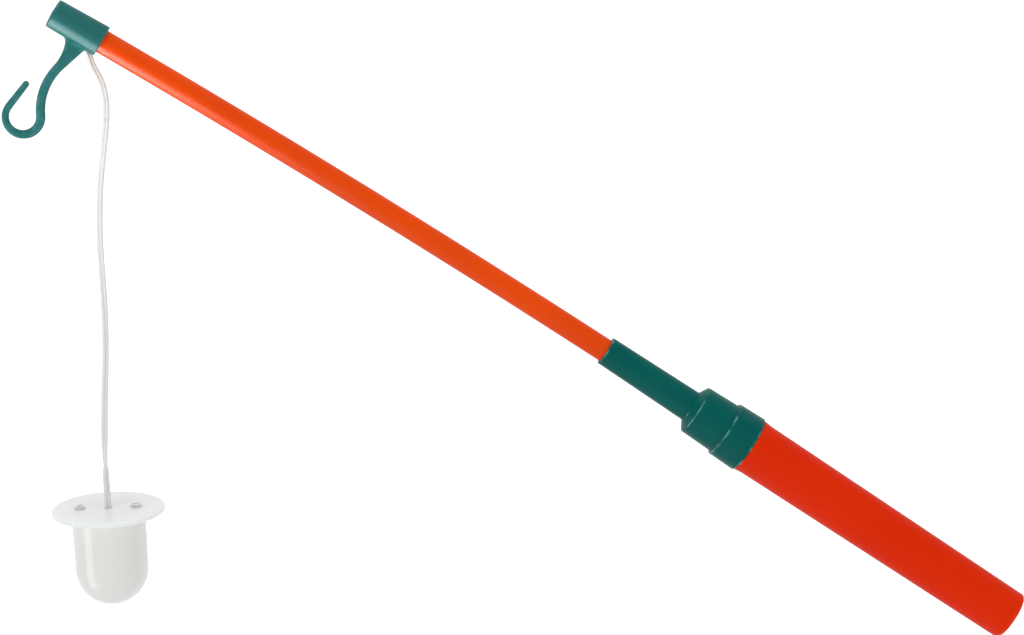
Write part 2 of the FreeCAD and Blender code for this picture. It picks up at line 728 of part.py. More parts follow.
def bulb_glass():
    """Round glass envelope with its neck in the cap."""
    centre = (0, -26.6)
    inner_r = BULB_GLASS_R - BULB_GLASS_WALL
    neck = 4.0
    outer_angle = math.degrees(math.acos(neck / BULB_GLASS_R))
    inner_angle = math.degrees(math.acos((neck - BULB_GLASS_WALL) / inner_r))
    top = -20.0
    shoulder = circle_point(centre, BULB_GLASS_R, outer_angle)
    inner_shoulder = circle_point(centre, inner_r, inner_angle)
    outline = Part.Wire([
        circle_arc(centre, BULB_GLASS_R, outer_angle, -90),
        Part.LineSegment(Vector(0, 0, centre[1] - BULB_GLASS_R), Vector(0, 0, centre[1] - inner_r)).toShape(),
        circle_arc(centre, inner_r, -90, inner_angle),
        Part.LineSegment(inner_shoulder, Vector(neck - BULB_GLASS_WALL, 0, top)).toShape(),
        Part.LineSegment(Vector(neck - BULB_GLASS_WALL, 0, top), Vector(neck, 0, top)).toShape(),
        Part.LineSegment(Vector(neck, 0, top), shoulder).toShape(),
    ])
    return Part.Face(outline).revolve(ORIGIN, Z_AXIS, 360)


def bulb_supports():
    """Glass bead and the two wires that carry the filament."""
    wires = [rod(0.2, Vector(out * 0.6, 0, -16.0), Vector(out, 0, -27.0)) for out in (-1.8, 1.8)]
    bead = rod(0.8, Vector(-1.9, 0, -22.0), Vector(1.9, 0, -22.0))
    return bead.fuse(wires[0]).fuse(wires[1])


def bulb_filament():
    return rod(0.12, Vector(-1.6, 0, -27.12), Vector(1.6, 0, -27.12))


def make_lamp():
    add_lamp("lamp_flange", lamp_flange())
    add_lamp("flange_screws", flange_screws())
    add_lamp("lamp_lens", lamp_lens())
    add_lamp("bulb_holder", bulb_holder())
    add_lamp("cord_knot", cord_knot())
    add_lamp("lamp_tails", lamp_tails())
    add_lamp("holder_tip_contact", holder_tip_contact())
    add_lamp("holder_side_contact", holder_side_contact())
    add_lamp("bulb_cap", bulb_cap())
    add_lamp("bulb_insulator", bulb_insulator())
    add_lamp("bulb_tip", bulb_tip())
    add_lamp("bulb_glass", bulb_glass())
    add_lamp("bulb_supports", bulb_supports())
    add_lamp("bulb_filament", bulb_filament())


make_handle()
make_adapter()
make_wand()
make_cord()
make_lamp()
os.makedirs("parts", exist_ok=True)
for name, shape in PARTS.items():
    shape.exportStep("parts/" + name + ".step")
    print(name, shape.ShapeType, "solids", len(shape.Solids), "valid", shape.isValid(),
          "volume", round(shape.Volume, 2))
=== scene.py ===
import json
import math

import bmesh
import bpy
from mathutils import Matrix, Vector


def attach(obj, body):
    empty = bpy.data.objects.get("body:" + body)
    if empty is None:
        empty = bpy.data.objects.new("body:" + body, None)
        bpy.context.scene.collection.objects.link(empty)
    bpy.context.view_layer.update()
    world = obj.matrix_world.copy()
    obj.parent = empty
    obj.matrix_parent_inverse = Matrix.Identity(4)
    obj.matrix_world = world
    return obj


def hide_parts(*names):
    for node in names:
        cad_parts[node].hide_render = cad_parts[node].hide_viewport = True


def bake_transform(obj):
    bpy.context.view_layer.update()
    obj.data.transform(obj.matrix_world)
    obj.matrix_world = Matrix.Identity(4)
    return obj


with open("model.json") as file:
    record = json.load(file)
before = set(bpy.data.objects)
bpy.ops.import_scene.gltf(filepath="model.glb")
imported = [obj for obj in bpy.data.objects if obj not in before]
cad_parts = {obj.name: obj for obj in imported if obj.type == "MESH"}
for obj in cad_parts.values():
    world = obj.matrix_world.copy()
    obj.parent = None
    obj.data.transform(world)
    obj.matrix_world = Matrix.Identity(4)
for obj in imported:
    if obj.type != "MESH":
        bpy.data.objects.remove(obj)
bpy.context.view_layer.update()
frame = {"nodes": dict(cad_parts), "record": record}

# The lantern stick's looks. Millimetres in the numbers, metres in the meshes. The stick is drawn
# along X with its tail at +X, then leaned; the lamp is drawn under its flange, then hung.

MM = 0.001
TURN = 2 * math.pi
SHARP_ANGLE = math.radians(34)      # sharper edges than this stay edges in the shading
WEAR_AND_SHEEN_ANGLE = 0.14                   # outer edges sharper than this, in radians, get a lighter edge colour: partly rubbed wear, partly a painted highlight

# ---- the frame's own dimensions ----

STICK_LEAN = 33.65
HANDLE_FRONT = -70.75
HANDLE_TAIL = 70.75
HANDLE_LIP = 4.2
HANDLE_TAIL_WALL = 2.5
HANDLE_BORE_R = 8.6
THREAD_PITCH = 3.0
THREAD_TURNS = 3.0
NECK_R = 10.1
NECK_END = HANDLE_FRONT - 12.0
RING_HEAD = HANDLE_FRONT - 13.0
COLLAR_HEAD = RING_HEAD - 15.5
SHOULDER_HEAD = COLLAR_HEAD - 2.5
SLEEVE_MOUTH = SHOULDER_HEAD - 45.0
TUBE_ROOT = SHOULDER_HEAD - 6.0
TUBE_SHOWN = 257.5
TUBE_TO_CAP = TUBE_ROOT - SLEEVE_MOUTH + TUBE_SHOWN
TUBE_R = 5.25
TUBE_BORE_R = 3.9
BOW_R = 5500.0
CAP_LENGTH = 25.0
CAP_MOUTH_R = 7.0
CAP_END_R = 6.5
CAP_END = TUBE_ROOT - CAP_LENGTH
CAP_FLOOR = TUBE_ROOT - 21.0
SOCKET_R = TUBE_R + 0.05
HOOK_LEAN = 31.7
HOOK_EYE = (-13.3, 0, -46.3)

CORD_ROUTE = [
    (-346.9, 0.0, 212.8),
    (-345.5, 0.0, 207.4),
    (-340.5, 0.0, 198.4),
    (-339.1, 0.0, 187.0),
    (-340.6, 0.0, 172.0),
    (-342.9, -0.1, 152.0),
    (-343.3, -0.5, 130.0),
    (-341.6, -1.1, 106.0),
    (-341.0, -1.5, 82.0),
    (-342.0, -1.9, 58.0),
    (-342.3, -2.0, 38.0),
    (-341.68, -1.56, 19.98),
    (-341.00, -0.91, 5.61),
]
SWING = Vector((-339.8, 0, 192.7))
SWAY = Vector((-339.85, 0, 179.5))
LAMP_TOP = Vector((-341.2, -1.1, 9.8))
LAMP_TILT = 2.6
LAMP_LEAN = -2.7
FLANGE_R = 25.0
FLANGE_THICKNESS = 2.0
SCREW_OUT = 12.4
SCREW_HEAD = 1.4
SCREW_HEAD_R = 2.35
LENS_R = 16.25

STICK = Matrix.Rotation(math.radians(STICK_LEAN), 4, "Y")
LAMP = (Matrix.Translation(LAMP_TOP)
        @ Matrix.Rotation(math.radians(LAMP_LEAN), 4, "Y")
        @ Matrix.Rotation(math.radians(LAMP_TILT), 4, "X"))
BOW_CENTRE = Vector((TUBE_ROOT, 0, -BOW_R))
HEAD = (STICK @ Matrix.Translation(BOW_CENTRE)
        @ Matrix.Rotation(-TUBE_TO_CAP / BOW_R, 4, "Y")
        @ Matrix.Translation(-BOW_CENTRE))
HOOK = (HEAD @ Matrix.Translation(Vector((TUBE_ROOT, 0, 0)) + Vector(HOOK_EYE))
        @ Matrix.Rotation(math.radians(-HOOK_LEAN), 4, "Y"))


# ---- mesh helpers ----

def bowed(point):
    """A point drawn along the straight stick, carried onto the bowed tube."""
    angle = (TUBE_ROOT - point.x) / BOW_R
    if angle <= 0:
        return point
    reach = BOW_R + point.z
    return Vector((TUBE_ROOT - reach * math.sin(angle), point.y, reach * math.cos(angle) - BOW_R))


def new_piece(name, bm, place):
    """A smooth mesh object from a bmesh drawn in millimetres, put in place in the row frame."""
    bmesh.ops.recalc_face_normals(bm, faces=bm.faces)
    # Vertices on outer edges are flagged here. The plastic lightens them in patches, partly as rubbed wear
    # and partly as a painted highlight along the edge.
    edge_wear_and_sheen = [any(edge.is_manifold and edge.calc_face_angle_signed() > WEAR_AND_SHEEN_ANGLE for edge in vert.link_edges)
            for vert in bm.verts]
    bm.transform(Matrix.Scale(MM, 4) @ place)
    mesh = bpy.data.meshes.new(name)
    bm.to_mesh(mesh)
    bm.free()
    wear_and_sheen = mesh.attributes.new("wear_and_sheen", "FLOAT", "POINT")
    wear_and_sheen.data.foreach_set("value", [float(flag) for flag in edge_wear_and_sheen])
    mesh.shade_smooth()
    mesh.set_sharp_from_angle(angle=SHARP_ANGLE)
    piece = bpy.data.objects.new(name, mesh)
    bpy.context.scene.collection.objects.link(piece)
    return piece


def rounded(corners, steps=5, support=0.35):
    """An outline whose corners (a, r, rounding) become short arcs with a ring close each side."""
    reaches = []
    for index, corner in enumerate(corners):
        here, before = Vector(corner[:2]), Vector(corners[index - 1][:2])
        after = Vector(corners[(index + 1) % len(corners)][:2])
        half = (before - here).angle(after - here) / 2
        reaches.append((corner[2] if len(corner) > 2 else 0) / math.tan(half))
    points = []
    for index, corner in enumerate(corners):
        here = Vector(corner[:2])
        reach = reaches[index]
        sides = []
        for other in (index - 1, (index + 1) % len(corners)):
            side = Vector(corners[other][:2]) - here
            sides.append((side.normalized(), min(support, (side.length - reach - reaches[other]) / 3)))
        (before, before_gap), (after, after_gap) = sides
        if not reach:
            points.append(here)
            continue
        half = before.angle(after) / 2
        centre = here + (before + after).normalized() * corner[2] / math.sin(half)
        start, end = here + before * reach - centre, here + after * reach - centre
        sweep = start.angle(end)
        points.append(here + before * (reach + before_gap))
        for step in range(steps + 1):
            share = step / steps
            points.append(centre + (start * math.sin((1 - share) * sweep)
                                    + end * math.sin(share * sweep)) / math.sin(sweep))
        points.append(here + after * (reach + after_gap))
    return points


def divided(points, longest):
    """The same closed outline with its long sides cut into equal lengths."""
    out = []
    for index, here in enumerate(points):
        after = points[(index + 1) % len(points)]
        count = max(1, math.ceil((after - here).length / longest))
        out += [here.lerp(after, step / count) for step in range(count)]
    return out


def lathe(outline, axis="X", sides=96):
    """A bmesh turned from a closed outline of (along, radius) points; radius 0 gives a pole."""
    bm = bmesh.new()
    rings = []
    for along, radius in outline:
        ring = []
        for side in range(1 if radius < 1e-6 else sides):
            angle = TURN * side / sides
            across, up = radius * math.cos(angle), radius * math.sin(angle)
            ring.append(bm.verts.new((along, across, up) if axis == "X" else (across, up, along)))
        rings.append(ring)
    skin(bm, rings + rings[:1], sides)
    return bm


def skin(bm, rings, sides):
    """Faces between neighbouring rings of vertices; a ring of one vertex is a pole."""
    for ring, follow in zip(rings, rings[1:]):
        if len(ring) == len(follow) == 1:
            continue
        for side in range(sides):
            after = (side + 1) % sides
            corners = [ring[side % len(ring)], ring[after % len(ring)],
                       follow[after % len(follow)], follow[side % len(follow)]]
            bm.faces.new(dict.fromkeys(corners))


def rod_mesh(radius, start, end, sides=48):
    """A plain closed bar between two points, for drilling holes with."""
    bm = bmesh.new()
    span = end - start
    turn = span.to_track_quat("Z", "Y").to_matrix().to_4x4()
    bmesh.ops.create_cone(bm, cap_ends=True, segments=sides, radius1=radius, radius2=radius,
                          depth=span.length, matrix=Matrix.Translation((start + end) / 2) @ turn)
    return bm


def bake(piece):
    """Apply a piece's modifiers to its mesh."""
    graph = bpy.context.evaluated_depsgraph_get()
    mesh = bpy.data.meshes.new_from_object(piece.evaluated_get(graph))
    piece.modifiers.clear()
    piece.data = mesh
    mesh.shade_smooth()
    mesh.set_sharp_from_angle(angle=SHARP_ANGLE)


def cut(piece, bm, place):
    """Cut a bmesh drawn in millimetres out of a piece."""
    tool = new_piece("tool", bm, place)
    modifier = piece.modifiers.new("cut", "BOOLEAN")
    modifier.operation = "DIFFERENCE"
    modifier.solver = "EXACT"
    modifier.object = tool
    bake(piece)
    bpy.data.objects.remove(tool)


# ---- materials ----

def node(tree, kind, inputs=None, **settings):
    """A shader node with its settings, and its inputs by name or number."""
    made = tree.nodes.new(kind)
    for name, value in settings.items():
        setattr(made, name, value)
    for name, value in (inputs or {}).items():
        if isinstance(value, bpy.types.NodeSocket):
            tree.links.new(value, made.inputs[name])
        else:
            made.inputs[name].default_value = value
    return made


def noise(tree, scale, detail=3.0, stretch=(1, 1, 1), lean=0.0):
    """Noise in the piece's own coordinates, `scale` in waves per metre."""
    where = node(tree, "ShaderNodeTexCoord").outputs["Object"]
    placed = node(tree, "ShaderNodeMapping", {"Vector": where, "Rotation": (0, -lean, 0)})
    placed = node(tree, "ShaderNodeMapping", {"Vector": placed.outputs[0], "Scale": stretch})
    return node(tree, "ShaderNodeTexNoise",
                {"Vector": placed.outputs[0], "Scale": scale, "Detail": detail}).outputs["Fac"]


def spread(tree, value, low, high, out_low, out_high):
    """Map a value's range to another, clamped."""
    return node(tree, "ShaderNodeMapRange", {
        "Value": value, "From Min": low, "From Max": high, "To Min": out_low, "To Max": out_high}).outputs[0]


def mixed(tree, factor, first, second):
    """Mix two colours."""
    return node(tree, "ShaderNodeMix", {"Factor": factor, 6: first, 7: second}, data_type="RGBA").outputs[2]


def surface(name):
    """A new material with its node tree and its Principled shader."""
    material = bpy.data.materials.new(name)
    material.use_nodes = True
    return material, material.node_tree, material.node_tree.nodes["Principled BSDF"]


def plastic(name, colour, shade, gloss, edge_wear_and_sheen, lean=0.0, grain=0.03, wear_and_sheen_amount=0.5, shine=0.5):
    """Moulded plastic: slow colour drift, flow streaks along the part, fine grain, and lighter outer edges
    that are partly rubbed wear and partly a painted highlight.
    """
    material, tree, shader = surface(name)
    drift = spread(tree, noise(tree, 28, 2), 0.35, 0.65, 0, 1)
    streak = spread(tree, noise(tree, 160, 3, (0.12, 1, 1), lean), 0.35, 0.7, 0, 1)
    body = mixed(tree, drift, colour, shade)
    body = mixed(tree, node(tree, "ShaderNodeMath", {0: streak, 1: 0.3}, operation="MULTIPLY").outputs[0],
                 body, shade)
    # Patches of the outer edges take the lighter edge colour, partly as rubbed wear and partly as a painted
    # highlight.
    edge = node(tree, "ShaderNodeAttribute", attribute_name="wear_and_sheen").outputs["Fac"]
    patch = spread(tree, noise(tree, 260, 4), 0.42, 0.62, 0, wear_and_sheen_amount)
    wear_and_sheen_mask = node(tree, "ShaderNodeMath", {0: edge, 1: patch}, operation="MULTIPLY").outputs[0]
    tree.links.new(mixed(tree, wear_and_sheen_mask, body, edge_wear_and_sheen), shader.inputs["Base Color"])
    rough = spread(tree, noise(tree, 420, 4, (0.1, 1, 1), lean), 0.3, 0.7, gloss - 0.03, gloss + 0.05)
    tree.links.new(rough, shader.inputs["Roughness"])
    fine = noise(tree, 2600, 2)
    bump = node(tree, "ShaderNodeBump", {"Height": fine, "Strength": grain, "Distance": 0.0002})
    tree.links.new(bump.outputs[0], shader.inputs["Normal"])
    shader.inputs["Specular IOR Level"].default_value = shine
    return material


def rgb(red, green, blue):
    """A colour as it looks on a screen, 0 to 255, made linear."""
    channels = (red, green, blue)
    return tuple(((c / 255 + 0.055) / 1.055) ** 2.4 if c > 10 else c / 3295 for c in channels) + (1,)


LEAN = math.radians(STICK_LEAN)
# Each plastic's fifth colour is its lighter edge colour, partly rubbed wear and partly a painted highlight on
# the rounded edges.
teal = plastic("teal_moulding", rgb(2, 87, 82), rgb(1, 81, 77), 0.3, rgb(110, 165, 165), LEAN, shine=0.08)
teal_head = plastic("teal_head", rgb(38, 100, 98), rgb(35, 96, 94), 0.32, rgb(90, 145, 150), LEAN,
                    wear_and_sheen_amount=0.25, shine=0.08)
orange = plastic("tube_orange", rgb(218, 69, 3), rgb(211, 65, 2), 0.27, rgb(240, 130, 70), LEAN,
                 shine=0.1)
red = plastic("handle_orange", rgb(209, 41, 1), rgb(205, 38, 0), 0.4, rgb(226, 90, 50), LEAN,
              grain=0.08, shine=0.05)


def opal(name, colour, depth, gloss):
    """Milky moulded plastic that light soaks into."""
    material, tree, shader = surface(name)
    drift = spread(tree, noise(tree, 45, 3), 0.3, 0.7, 0, 1)
    darker = tuple(c * 0.95 for c in colour[:3]) + (1,)
    tree.links.new(mixed(tree, drift, colour, darker), shader.inputs["Base Color"])
    shader.inputs["Subsurface Weight"].default_value = 0.6
    shader.inputs["Subsurface Radius"].default_value = (1.0, 1.0, 0.95)
    shader.inputs["Subsurface Scale"].default_value = depth
    rough = spread(tree, noise(tree, 300, 3), 0.3, 0.7, gloss - 0.01, gloss + 0.02)
    tree.links.new(rough, shader.inputs["Roughness"])
    bump = node(tree, "ShaderNodeBump", {"Height": noise(tree, 900, 3), "Strength": 0.03, "Distance": 0.0003})
    tree.links.new(bump.outputs[0], shader.inputs["Normal"])
    return material


lens_white = opal("lens_opal", rgb(219, 220, 217), 0.0015, 0.16)
flange_white = opal("flange_milky", rgb(221, 224, 224), 0.003, 0.24)
cord_white = opal("cord_pvc", rgb(215, 214, 211), 0.0008, 0.34)


def metal(name, colour, gloss, scratch=(1, 1, 1), scale=900, metallic=1.0):
    """Metal with fine marks in its gloss."""
    material, tree, shader = surface(name)
    shader.inputs["Metallic"].default_value = metallic
    marks = noise(tree, scale, 4, scratch)
    darker = tuple(c * 0.75 for c in colour[:3]) + (1,)
    body = mixed(tree, spread(tree, marks, 0.35, 0.7, 0, 1), colour, darker)
    tree.links.new(body, shader.inputs["Base Color"])
    tree.links.new(spread(tree, marks, 0.3, 0.7, gloss - 0.08, gloss + 0.15), shader.inputs["Roughness"])
    bump = node(tree, "ShaderNodeBump", {"Height": marks, "Strength": 0.08, "Distance": 0.0002})
    tree.links.new(bump.outputs[0], shader.inputs["Normal"])
    return material


screw_steel = metal("screw_steel", rgb(226, 227, 226), 0.35, metallic=0.35)
spring_steel = metal("spring_steel", rgb(180, 180, 178), 0.25)
brass = metal("contact_brass", rgb(196, 158, 84), 0.3)
cap_metal = metal("bulb_cap_metal", rgb(190, 180, 150), 0.25)
cell_metal = metal("cell_can", rgb(150, 152, 156), 0.35, (1, 1, 8), 300)
tungsten = metal("filament", rgb(120, 120, 124), 0.4)
board_brown = plastic("phenolic_board", rgb(128, 74, 34), rgb(104, 58, 26), 0.55, rgb(150, 96, 56))
holder_grey = plastic("holder_plastic", rgb(214, 210, 198), rgb(200, 196, 184), 0.5, rgb(230, 226, 214))
lead_red = plastic("lead_red", rgb(176, 30, 26), rgb(150, 22, 20), 0.45, rgb(200, 90, 80))
lead_black = plastic("lead_black", rgb(34, 34, 36), rgb(24, 24, 26), 0.45, rgb(80, 80, 84))
black_glass = plastic("bulb_black", rgb(26, 26, 30), rgb(18, 18, 20), 0.2, rgb(70, 70, 74))
bulb_clear, bulb_tree, bulb_shader = surface("bulb_glass")
bulb_shader.inputs["Transmission Weight"].default_value = 1.0
bulb_shader.inputs["Roughness"].default_value = 0.02
tint = mixed(bulb_tree, noise(bulb_tree, 120), (1, 1, 1, 1), (0.93, 0.95, 0.95, 1))
bulb_tree.links.new(tint, bulb_shader.inputs["Base Color"])

SLOT_LOOKS = {
    "teal_plastic": teal, "tube_orange": orange, "handle_orange": red, "flange_clear": flange_white,
    "lens_opal": lens_white, "cord_white": cord_white, "lead_red": lead_red, "lead_black": lead_black,
    "screw_steel": screw_steel, "spring_steel": spring_steel, "contact_brass": brass, "board": board_brown,
    "cell_can": cell_metal, "holder_plastic": holder_grey, "bulb_cap_metal": cap_metal,
    "bulb_glass": bulb_clear, "bulb_black": black_glass, "filament": tungsten,
}
for part in frame["record"]["subparts"]:
    slots = frame["nodes"][part["node"]].data.materials
    slots.clear()
    slots.append(SLOT_LOOKS[part["material_slot"]])


def finished(piece, slot, body, *nodes, look=None):
    """Give a piece its material, its body and the CAD nodes that it stands for."""
    piece.data.materials.clear()
    piece.data.materials.append(look or SLOT_LOOKS[slot])
    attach(piece, body)
    if nodes:
        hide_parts(*nodes)
    return piece


# ---- camera ----

ELEVATION = math.radians(12)
ROLL = math.radians(0.2)
TARGET = Vector((-0.16323, 0, 0.09594))
DISTANCE = 2.0
back = Vector((0, -math.cos(ELEVATION), math.sin(ELEVATION)))
level_up = Vector((0, math.sin(ELEVATION), math.cos(ELEVATION)))
right = Vector((math.cos(ROLL), 0, 0)) + level_up * math.sin(ROLL)
up = level_up * math.cos(ROLL) - Vector((math.sin(ROLL), 0, 0))
camera = bpy.data.objects.new("camera", bpy.data.cameras.new("camera"))
camera.data.sensor_width = 36
camera.data.lens = 160.66
camera.data.clip_end = 100
camera.matrix_world = Matrix((
    (right.x, up.x, back.x, TARGET.x + back.x * DISTANCE),
    (right.y, up.y, back.y, TARGET.y + back.y * DISTANCE),
    (right.z, up.z, back.z, TARGET.z + back.z * DISTANCE),
    (0, 0, 0, 1)))
bpy.context.scene.collection.objects.link(camera)
bpy.context.scene.camera = camera


# ---- cord ----

def spline_points(route):
    """Points along the smooth spline that has the route's points as its control points."""
    curve = bpy.data.curves.new("route", "CURVE")
    curve.dimensions = "3D"
    curve.resolution_u = 24
    spline = curve.splines.new("NURBS")
    spline.points.add(len(route) - 1)
    for knot, point in zip(spline.points, route):
        knot.co = (*point, 1)
    spline.order_u = 3
    spline.use_endpoint_u = True
    spline.resolution_u = 24
    holder = bpy.data.objects.new("route", curve)
    bpy.context.scene.collection.objects.link(holder)
    mesh = bpy.data.meshes.new_from_object(holder)
    line = [vert.co.copy() for vert in mesh.vertices]
    bpy.data.objects.remove(holder)
    return line


def evenly(line, gap):
    """Points a fixed distance apart along a line."""
    lengths = [0]
    for here, after in zip(line, line[1:]):
        lengths.append(lengths[-1] + (after - here).length)
    count = round(lengths[-1] / gap)
    out, index = [], 0
    for step in range(count + 1):
        at = lengths[-1] * step / count
        while index < len(line) - 2 and lengths[index + 1] < at:
            index += 1
        share = (at - lengths[index]) / (lengths[index + 1] - lengths[index])
        out.append(line[index].lerp(line[index + 1], share))
    return out


# The pair of leads turns slowly about the cord: (millimetres from the cap, degrees).
TWIST = [(0, -60), (10, -18), (24, 5), (60, 28), (100, 4), (140, -22), (172, 0), (186, 60), (196, 150),
         (215, 185)]


def twist_at(along):
    """The pair's angle at a distance along the cord, eased between the keys."""
    for (first, low), (last, high) in zip(TWIST, TWIST[1:]):
        if along <= last:
            share = max(0, along - first) / (last - first)
            return math.radians(low + (high - low) * share * share * (3 - 2 * share))
    return math.radians(TWIST[-1][1])


def pair_outline(wire, apart, steps=12):
    """The section of two leads side by side with a groove each side: (across, deep) points."""
    half = math.acos(-apart / wire)
    angles = [half * (2 * i / steps - 1) for i in range(steps + 1)]
    right = [(apart + wire * math.cos(angle), wire * math.sin(angle)) for angle in angles]
    left = [(-across, -deep) for across, deep in right]
    return right[:-1] + left[:-1]


def cord_mesh(line, first, last):
    """The twisted pair swept along part of a line, with its two ends closed flat."""
    outline = pair_outline(LEAD_WIRE_R, LEAD_WIRE_OUT)
    bm = bmesh.new()
    rings = []
    for index in range(first, last + 1):
        ahead = line[min(index + 1, len(line) - 1)] - line[max(index - 1, 0)]
        along = ahead.normalized()
        deep = Vector((0, 1, 0))
        deep = (deep - along * deep.dot(along)).normalized()
        across = deep.cross(along)
        angle = twist_at(index * CORD_STEP)
        side = across * math.cos(angle) + deep * math.sin(angle)
        face = deep * math.cos(angle) - across * math.sin(angle)
        rings.append([bm.verts.new(line[index] + side * a + face * d) for a, d in outline])
    for ring in (rings[0], rings[-1]):
        bm.faces.new(ring)
    skin(bm, rings, len(outline))
    return bm


CORD_STEP = 0.5
LEAD_WIRE_R = 0.84
LEAD_WIRE_OUT = 0.66
inside_cap = (-349.6, 0.0, 216.6)
cord_line = evenly(spline_points([inside_cap] + CORD_ROUTE), CORD_STEP)
SEAM_Z = 183.4
seam = min(range(len(cord_line)), key=lambda i: abs(cord_line[i].z - SEAM_Z))
for name, first, last, bodies, middle, room, nodes in (
        ("cord_top", 0, seam, ("wand", "cord_link"), SWING, 6.0, ("cord_root", "cord_link")),
        ("cord_drop", seam, len(cord_line) - 1, ("cord_link", "pendant"), SWAY, 3.8, ("lamp_cord",))):
    cord = new_piece(name, cord_mesh(cord_line, first, last), Matrix.Identity(4))
    cord.data.materials.append(cord_white)
    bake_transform(cord)
    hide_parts(*nodes)

# ---- handle ----

LIP_END = HANDLE_FRONT + HANDLE_LIP
FLOOR = HANDLE_TAIL - HANDLE_TAIL_WALL
handle_bm = lathe(divided(rounded([
    (NECK_END, HANDLE_BORE_R, 0.3), (NECK_END, NECK_R, 0.5), (HANDLE_FRONT, NECK_R),
    (HANDLE_FRONT, 12.6, 0.5), (LIP_END, 12.15, 8.0), (HANDLE_TAIL - 0.5, 11.15, 1.4), (HANDLE_TAIL, 0),
    (FLOOR, 0), (FLOOR, HANDLE_BORE_R)]), 9.0))


def thread(bm, start, pitch, turns, root, crest, steps=64):
    """The raised thread on the neck, run out at both ends."""
    rings = []
    count = int(turns * steps)
    for step in range(count + 1):
        angle = TURN * step / steps
        run = min(1.0, step / 8, (count - step) / 8)
        top = root + (crest - root) * max(run, 0.02)
        along = start - pitch * angle / TURN
        ring = []
        for across, radius in ((-0.7, root), (-0.3, top), (0.3, top), (0.7, root)):
            ring.append(bm.verts.new((along + across, radius * math.sin(angle), radius * math.cos(angle))))
        rings.append(ring)
    for ring in (rings[0], rings[-1]):
        bm.faces.new(ring)
    skin(bm, rings, 4)


thread(handle_bm, HANDLE_FRONT - 1.2, THREAD_PITCH, THREAD_TURNS, NECK_R - 0.2, NECK_R + 0.4)
handle = finished(new_piece("handle_grip", handle_bm, STICK), "handle_orange", "handle", "handle_shell")

# ---- adapter ----

BOARD_SEAT = -95.3
WASHER_SEAT = NECK_END - 0.8
adapter_bm = lathe(divided(rounded([
    (SLEEVE_MOUTH, SOCKET_R), (SLEEVE_MOUTH, 6.5, 0.4), (SHOULDER_HEAD, 7.05, 0.8), (COLLAR_HEAD, 11.3, 0.9),
    (RING_HEAD, 11.75, 0.4), (RING_HEAD, 12.8, 0.6), (HANDLE_FRONT, 13.1, 0.4), (HANDLE_FRONT, 10.6),
    (WASHER_SEAT, 10.6), (WASHER_SEAT, 9.0), (BOARD_SEAT, 9.0), (BOARD_SEAT, 7.6), (BOARD_SEAT - 2.2, 7.6),
    (BOARD_SEAT - 2.2, TUBE_BORE_R), (TUBE_ROOT, TUBE_BORE_R), (TUBE_ROOT, SOCKET_R)]), 6.0))
adapter = finished(new_piece("adapter_moulding", adapter_bm, STICK), "teal_plastic", "wand", "adapter")

# ---- tube ----

TUBE_END = TUBE_ROOT - TUBE_TO_CAP - 20.7
tube_bm = lathe(divided([Vector(corner) for corner in (
    (TUBE_ROOT, TUBE_BORE_R), (TUBE_ROOT, TUBE_R), (TUBE_END, TUBE_R), (TUBE_END, TUBE_BORE_R))], 4.0))
for vert in tube_bm.verts:
    vert.co = bowed(vert.co)
tube = finished(new_piece("long_tube", tube_bm, STICK), "tube_orange", "wand", "wand_tube")

# ---- head cap and hook ----

cap_bm = lathe(divided(rounded([
    (TUBE_ROOT, SOCKET_R), (TUBE_ROOT, CAP_MOUTH_R, 0.35), (CAP_END + 0.5, CAP_END_R, 0.9), (CAP_END, 0),
    (CAP_FLOOR, 0), (CAP_FLOOR, SOCKET_R)]), 3.0))


def polar(centre, radius, degrees):
    """A point on a circle in the hook's plane."""
    angle = math.radians(degrees)
    return Vector((centre[0] + radius * math.cos(angle), 0, centre[1] + radius * math.sin(angle)))


def tangent_angle(centre, reach, tip):
    """Direction of the normal of the line that keeps `reach` more from the first centre."""
    span = math.hypot(tip[0] - centre[0], tip[1] - centre[1])
    return math.degrees(math.atan2(tip[1] - centre[1], tip[0] - centre[0]) + math.acos(reach / span))


def hook_sections():
    """Pairs of inner and outer points along the hook from its tip to the cap, in its own frame."""
    eye, eye_r, loop, loop_r = (0, 0), 5.85, (0.45, -0.1), 9.5
    shank_r, flare_r, tip, tip_r = 28.9, 19.6, (2.05, 14.3), 1.4
    bend = (eye_r + shank_r, 1.8)
    outer_r = bend[0] - loop[0] - loop_r
    outside = tangent_angle(loop, loop_r - tip_r, tip)
    inside = tangent_angle(eye, eye_r + tip_r, tip)
    flare_span = (shank_r + flare_r) / math.sqrt(2)
    flare = (bend[0] - flare_span, bend[1] + flare_span)
    tip_in, tip_out = polar(tip, tip_r, inside - 180), polar(tip, tip_r, outside)
    loop_in, loop_out = polar(eye, eye_r, inside), polar(loop, loop_r, outside)
    outward = (tip_in + tip_out - loop_in - loop_out).normalized()
    middle, half = (tip_in + tip_out) / 2, (tip_in - tip_out) / 2
    sections = []
    for i in range(1, 8):
        angle = math.pi / 2 * i / 8
        centre = middle + outward * tip_r * math.cos(angle)
        sections.append((centre + half * math.sin(angle), centre - half * math.sin(angle), math.sin(angle)))
    for i in range(14):
        sections.append((tip_in.lerp(loop_in, i / 14), tip_out.lerp(loop_out, i / 14), 1))
    for i in range(64):
        left = 1 - i / 64
        sections.append((polar(eye, eye_r, (inside - 360) * left),
                         polar(loop, loop_r, (outside - 360) * left), 1))
    sections.append((Vector((eye_r, 0, 0)), Vector((loop[0] + loop_r, 0, loop[1])), 1))
    for i in range(25):
        share = i / 24
        sections.append((polar(bend, shank_r, 180 - 45 * share), polar(bend, outer_r, 180 - 49 * share), 1))
    leave = polar(bend, outer_r, 131)
    slope = Vector((math.cos(math.radians(41)), 0, math.sin(math.radians(41))))
    for i in range(1, 21):
        share = i / 20
        sections.append((polar(flare, flare_r, -45 + 42.7 * share), leave + slope * 13.6 * share, 1))
    return sections, middle + outward * tip_r


